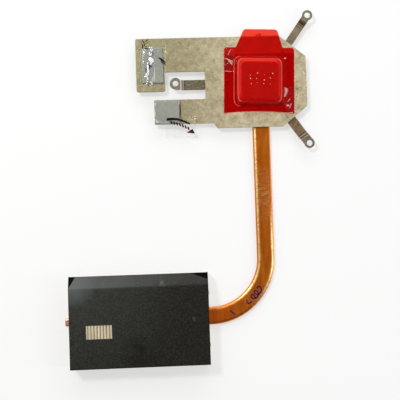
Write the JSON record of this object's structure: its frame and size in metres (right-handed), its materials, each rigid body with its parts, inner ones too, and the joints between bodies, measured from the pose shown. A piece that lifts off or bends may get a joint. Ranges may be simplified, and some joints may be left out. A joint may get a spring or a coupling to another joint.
{
  "type": "heatsink",
  "caption": "Computer heatsink: stamped plate with spring arms, capped copper contact block and pads, a flat bent heat pipe, and a fin block under black film.",
  "frame": {"origin": "centre of the heatsink's box in plan, on the surface that it lies on", "axes": "+X towards the plate's cut corners, +Y from the fins towards the plate, +Z towards the circuit board that it is screwed to"},
  "size_m": [0.1586, 0.2156, 0.0122],
  "materials": {
    "plate_sheet": "champagne conversion coat, mottled and lightly scratched",
    "copper": "bare drawn copper, light scratches",
    "copper_face": "milled copper",
    "sintered_copper": "rough sintered powder",
    "paste": "soft grey compound",
    "fin_sheet": "mill finish",
    "foam": "fine black foam",
    "black_film": "matt black film, fine grain",
    "spring_steel": "satin",
    "rivet_steel": "satin",
    "thermal_pad": "soft grey gap filler",
    "clear_film": "clear crinkled film",
    "clear_tape": "clear wrinkled tape",
    "red_sheet": "glossy translucent red"
  },
  "bodies": {
    "root": {"base_plate": "plate_sheet", "cold_plate": "copper_face", "thermal_paste": "paste", "heat_pipe": "copper", "pipe_wick": "sintered_copper", "fins": "fin_sheet", "end_fin": "fin_sheet", "inlet_gasket": "foam", "cover_film": "black_film", "arm_left": "spring_steel", "arm_upper": "spring_steel", "arm_lower": "spring_steel", "arm_rivets": "rivet_steel", "thermal_pad_upper": "thermal_pad", "thermal_pad_lower": "thermal_pad", "pad_film_upper": "clear_film", "pad_film_lower": "clear_film", "protective_cap": "red_sheet", "cap_tape_left": "clear_tape", "cap_tape_right": "clear_tape"}
  },
  "joints": []
}
